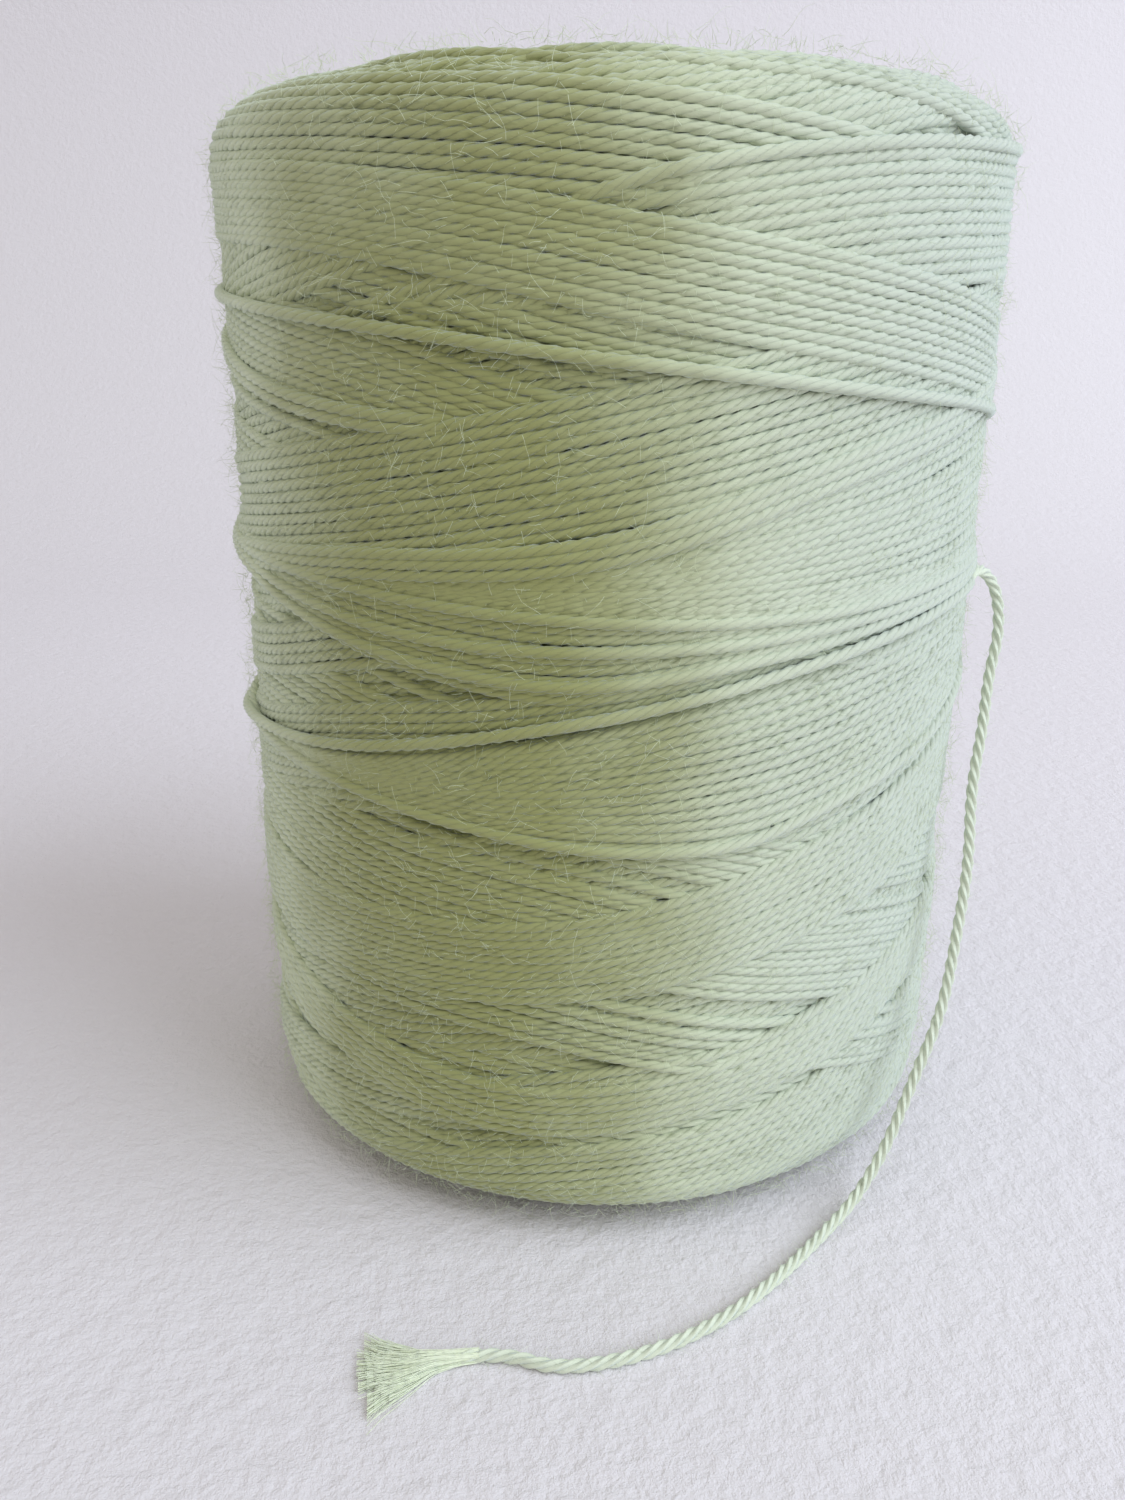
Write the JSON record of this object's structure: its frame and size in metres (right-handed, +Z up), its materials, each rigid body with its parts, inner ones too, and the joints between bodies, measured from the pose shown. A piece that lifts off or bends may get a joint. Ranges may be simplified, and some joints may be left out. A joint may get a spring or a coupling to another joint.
{
  "type": "cord package on a paper tube",
  "caption": "Cross-wound package of soft plied cotton cord on a spiral-wound paper tube, with a free tail that hangs down the side and frays on the table.",
  "frame": {"origin": "on the tube's axis, at the tube's lower end, which stands on the table", "axes": "+Z up along the tube's axis; the free tail hangs at +X and lies towards -Y"},
  "size_m": [0.0878, 0.1073, 0.115],
  "materials": {
    "cotton_cord": "matte, soft, fuzzy cotton, pale sage green",
    "paperboard": "matte brown board, spiral seams"
  },
  "bodies": {
    "root": {"tube_liner": "paperboard", "tube_inner_ply": "paperboard", "tube_outer_ply": "paperboard", "tube_cover_ply": "paperboard", "winding_first_layers": "cotton_cord", "winding_middle_layers": "cotton_cord", "winding_outer_layers": "cotton_cord", "free_tail": "cotton_cord", "frayed_ply_1": "cotton_cord", "frayed_ply_2": "cotton_cord", "frayed_ply_3": "cotton_cord", "frayed_ply_4": "cotton_cord"}
  },
  "joints": []
}
